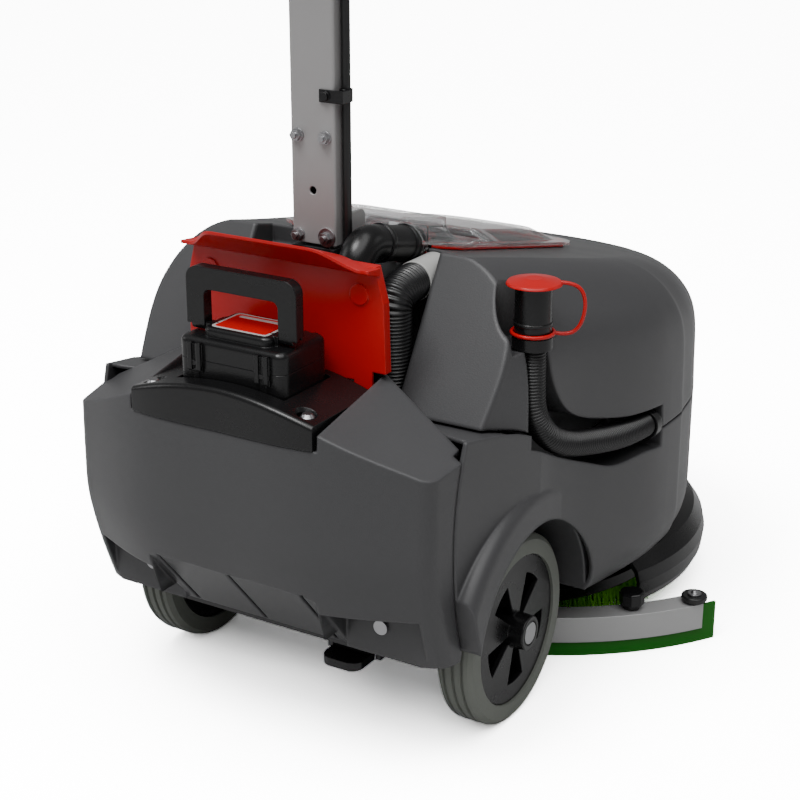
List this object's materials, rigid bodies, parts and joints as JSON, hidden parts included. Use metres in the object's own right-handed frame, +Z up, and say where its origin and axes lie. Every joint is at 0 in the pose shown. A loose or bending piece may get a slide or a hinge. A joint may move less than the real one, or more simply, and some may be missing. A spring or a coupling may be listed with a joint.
{
  "type": "floor scrubber machine",
  "caption": "Walk-behind battery floor scrubber with a round brush deck, curved squeegee, barrel-shaped water tank, two rear wheels and a folding handle mast.",
  "frame": {"origin": "on the floor, at the middle of the machine's bounding box seen from above", "axes": "+Z up, -Y the driving direction, +Y towards the operator, +X towards the machine's left side; the Z direction is the longest extent"},
  "size_m": [0.6344, 0.8074, 1.0778],
  "materials": {
    "grey_body": "moulded satin, dark grey",
    "black_plastic": "moulded satin, black",
    "red_plastic": "moulded semi-gloss, signal red",
    "clear_plastic": "clear moulded polycarbonate",
    "tyre_grey": "non-marking grey rubber",
    "black_rubber": "ribbed flexible hose, satin",
    "pale_plastic": "pale grey satin",
    "mast_silver": "silver powder coat",
    "bar_silver": "silver grey paint, satin",
    "black_steel": "black powder coat",
    "bright_steel": "zinc plated",
    "motor_metal": "bare cast housing",
    "bristle_green": "nylon filament",
    "blade_green": "dark green blade rubber"
  },
  "bodies": {
    "frame": {"chassis_frame": "black_steel", "mast_foot": "black_steel", "pivot_pins": "bright_steel", "axle": "bright_steel", "axle_nuts": "bright_steel", "wheel_bearings": "bright_steel", "lower_body": "grey_body", "rear_cover": "grey_body", "cover_screws": "bright_steel", "recovery_tank": "grey_body", "vacuum_hose": "black_rubber", "vacuum_cuff": "pale_plastic", "drain_hose": "black_rubber", "drain_cuff": "black_plastic", "drain_collar": "black_plastic", "cap_strap": "red_plastic", "battery_tray": "black_plastic", "cover_hinge": "bright_steel", "vacuum_motor": "black_plastic", "solution_valve": "black_plastic", "brush_motor": "motor_metal", "deck_cover": "black_plastic", "cable_tail": "black_rubber"},
    "lid": {"clear_lid": "clear_plastic", "lid_seal": "red_plastic", "filter_basket": "red_plastic", "vacuum_elbow": "black_plastic"},
    "wheel_left": {"tyre_left": "tyre_grey", "hub_left": "black_plastic"},
    "wheel_right": {"tyre_right": "tyre_grey", "hub_right": "black_plastic"},
    "brush": {"brush_disc": "black_plastic", "brush_bristles": "bristle_green"},
    "squeegee": {"squeegee_body": "bar_silver", "blade_front": "blade_green", "blade_rear": "blade_green", "squeegee_port": "black_plastic", "squeegee_bracket": "black_steel", "roller_bolts": "bright_steel"},
    "knob_l": {"knob_left": "black_plastic"},
    "knob_r": {"knob_right": "black_plastic"},
    "roller_l": {"roller_left": "black_rubber"},
    "roller_r": {"roller_right": "black_rubber"},
    "pedal": {"foot_pedal": "black_plastic"},
    "battery": {"battery_case": "black_plastic", "battery_lid": "black_plastic", "battery_latches": "black_plastic"},
    "battery_grip": {"battery_handle": "black_plastic"},
    "flap": {"battery_cover": "red_plastic"},
    "cap": {"drain_cap": "red_plastic"},
    "mast": {"mast_tube": "mast_silver", "mast_bolts": "bright_steel", "cable_clip": "black_plastic", "mast_cable": "black_rubber", "control_head": "black_plastic", "loop_handle": "black_plastic"},
    "lever": {"start_lever": "red_plastic"},
    "flow": {"flow_knob": "black_plastic"},
    "key_brush": {"button_brush": "red_plastic"},
    "key_vacuum": {"button_vacuum": "red_plastic"}
  },
  "joints": [
    {"name": "lid_lift", "type": "slide", "parent": "frame", "child": "lid", "axis": [0, 0, 1], "range_m": [0, 0.06]},
    {"name": "wheel_left_spin", "type": "hinge", "parent": "frame", "child": "wheel_left", "pos_m": [0.186, 0.1853, 0.1], "axis": [1, 0, 0], "continuous": true},
    {"name": "wheel_right_spin", "type": "hinge", "parent": "frame", "child": "wheel_right", "pos_m": [-0.186, 0.1853, 0.1], "axis": [1, 0, 0], "continuous": true},
    {"name": "brush_spin", "type": "hinge", "parent": "frame", "child": "brush", "pos_m": [0, -0.1477, 0.05], "axis": [0, 0, 1], "continuous": true},
    {"name": "squeegee_lift", "type": "slide", "parent": "frame", "child": "squeegee", "axis": [0, 0, 1], "range_m": [0, 0.03], "deforming": ["vacuum_hose"]},
    {"name": "pedal_press", "type": "hinge", "parent": "frame", "child": "pedal", "pos_m": [-0.079, 0.2823, 0.097], "axis": [-1, 0, 0], "range_deg": [0, 25]},
    {"name": "knob_left_turn", "type": "hinge", "parent": "squeegee", "child": "knob_l", "pos_m": [0.24494, -0.01268, 0.058], "axis": [0, 0, 1], "continuous": true},
    {"name": "knob_right_turn", "type": "hinge", "parent": "squeegee", "child": "knob_r", "pos_m": [-0.24494, -0.01268, 0.058], "axis": [0, 0, 1], "continuous": true},
    {"name": "roller_left_spin", "type": "hinge", "parent": "squeegee", "child": "roller_l", "pos_m": [0.29817, -0.06292, 0.054], "axis": [0, 0, 1], "continuous": true},
    {"name": "roller_right_spin", "type": "hinge", "parent": "squeegee", "child": "roller_r", "pos_m": [-0.29817, -0.06292, 0.054], "axis": [0, 0, 1], "continuous": true},
    {"name": "battery_lift", "type": "slide", "parent": "frame", "child": "battery", "axis": [0, 0, 1], "range_m": [0, 0.06]},
    {"name": "battery_grip_fold", "type": "hinge", "parent": "battery", "child": "battery_grip", "pos_m": [0, 0.35355, 0.431], "axis": [1, 0, 0], "range_deg": [0, 45]},
    {"name": "flap_swing", "type": "hinge", "parent": "frame", "child": "flap", "pos_m": [0, 0.2843, 0.37], "axis": [1, 0, 0], "range_deg": [-5, 10]},
    {"name": "cap_pull", "type": "slide", "parent": "frame", "child": "cap", "axis": [0, 0, 1], "range_m": [0, 0.04], "deforming": ["cap_strap"]},
    {"name": "mast_fold", "type": "hinge", "parent": "frame", "child": "mast", "pos_m": [0, 0.1973, 0.474], "axis": [1, 0, 0], "range_deg": [0, 25]},
    {"name": "lever_pull", "type": "hinge", "parent": "mast", "child": "lever", "pos_m": [0, 0.2683, 0.993], "axis": [1, 0, 0], "range_deg": [0, 20], "stiffness_Nm_per_rad": 0.4, "springref_deg": -11.46},
    {"name": "flow_turn", "type": "hinge", "parent": "mast", "child": "flow", "pos_m": [0, 0.2133, 1.03], "axis": [0, 0, 1], "range_deg": [0, 270]},
    {"name": "key_brush_press", "type": "slide", "parent": "mast", "child": "key_brush", "axis": [0, 0, 1], "range_m": [-0.004, 0], "stiffness_N_per_m": 600, "springref_m": 0.002},
    {"name": "key_vacuum_press", "type": "slide", "parent": "mast", "child": "key_vacuum", "axis": [0, 0, 1], "range_m": [-0.004, 0], "stiffness_N_per_m": 600, "springref_m": 0.002}
  ],
  "couplings": [
    {"joint": "pedal_press", "follows": "squeegee_lift", "rad_per_m": 14.5}
  ]
}
